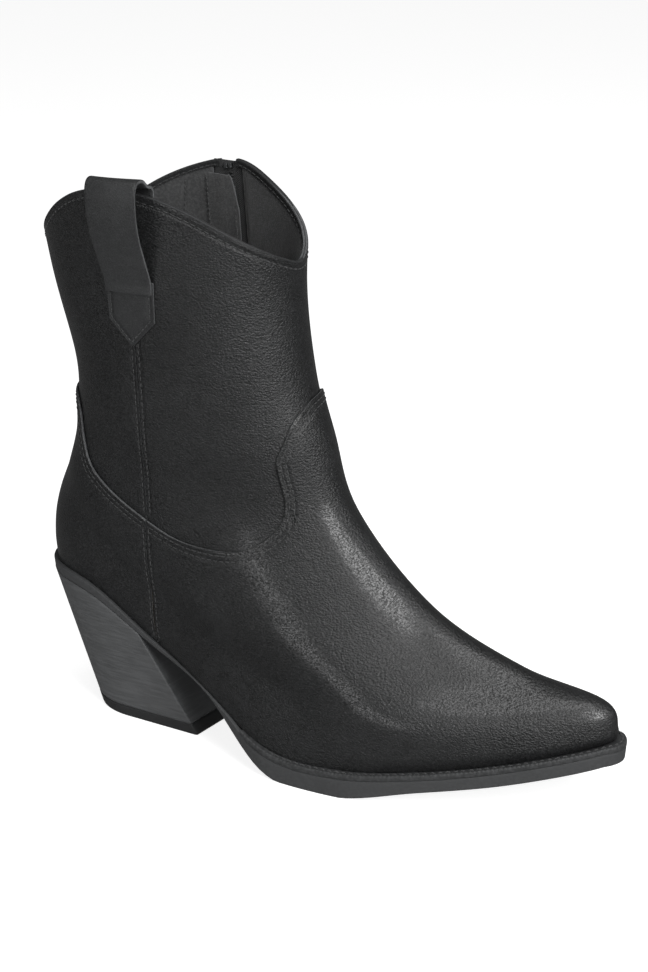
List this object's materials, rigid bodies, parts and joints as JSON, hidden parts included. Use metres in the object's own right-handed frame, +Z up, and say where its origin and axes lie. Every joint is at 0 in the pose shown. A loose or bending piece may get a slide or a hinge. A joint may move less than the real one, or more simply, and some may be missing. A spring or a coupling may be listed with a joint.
{
  "type": "cowboy boot",
  "caption": "Western ankle boot with pointed toe, scalloped foxing, dipped rim, pull strap, side zip, welted sole and slanted block heel.",
  "frame": {"origin": "middle of the boot's footprint box, on the floor", "axes": "+X from heel to toe, +Y towards the inner side of the foot where the zip is, +Z up; a right boot"},
  "size_m": [0.2948, 0.1148, 0.269],
  "materials": {
    "upper_leather": "fine grained black with a soft sheen",
    "lining": "matte dark grey brushed lining",
    "zip_tape": "woven black tape",
    "zip_coil": "black nylon coil",
    "zip_metal": "dark plated metal",
    "stiffener_board": "pressed fibre",
    "backing_cloth": "plain woven cloth",
    "insole_board": "fibre board",
    "foam": "open cell foam",
    "steel": "plain steel",
    "cork": "ground cork",
    "welt": "matte black with a stitched groove",
    "outsole_rubber": "matte dark grey edge",
    "heel_plastic": "matte black, faint stacked grain",
    "lift_rubber": "matte black"
  },
  "bodies": {
    "boot": {"vamp": "upper_leather", "heel_counter": "upper_leather", "shaft_front": "upper_leather", "shaft_back": "upper_leather", "strap_patch": "upper_leather", "pull_strap": "upper_leather", "zip_tape_front": "zip_tape", "zip_tape_back": "zip_tape", "zip_coil_front": "zip_coil", "zip_coil_back": "zip_coil", "zip_top_stops": "zip_metal", "zip_bottom_stop": "zip_metal", "zip_guard": "lining", "shaft_lining_front": "lining", "shaft_lining_back": "lining", "foot_lining": "lining", "heel_lining": "lining", "toe_puff": "stiffener_board", "backing_cloth": "backing_cloth", "heel_stiffener": "stiffener_board", "insole_board": "insole_board", "heel_pad": "foam", "sock_liner": "lining", "shank": "steel", "cork_filler": "cork", "welt": "welt", "outsole": "outsole_rubber", "heel_block": "heel_plastic", "top_lift": "lift_rubber", "heel_screw": "steel", "heel_nails": "steel", "lift_pins": "steel"},
    "slider": {"zip_slider": "zip_metal"},
    "pull_tab": {"zip_pull": "zip_metal"}
  },
  "joints": [
    {"name": "zip_slide", "type": "slide", "parent": "boot", "child": "slider", "axis": [0.1246, -0.0624, -0.9902], "range_m": [0, 0.104]},
    {"name": "pull_tab_swing", "type": "hinge", "parent": "slider", "child": "pull_tab", "pos_m": [-0.07532, 0.04971, 0.24585], "axis": [0.991, -0.0408, 0.1273], "range_deg": [0, 165]}
  ]
}
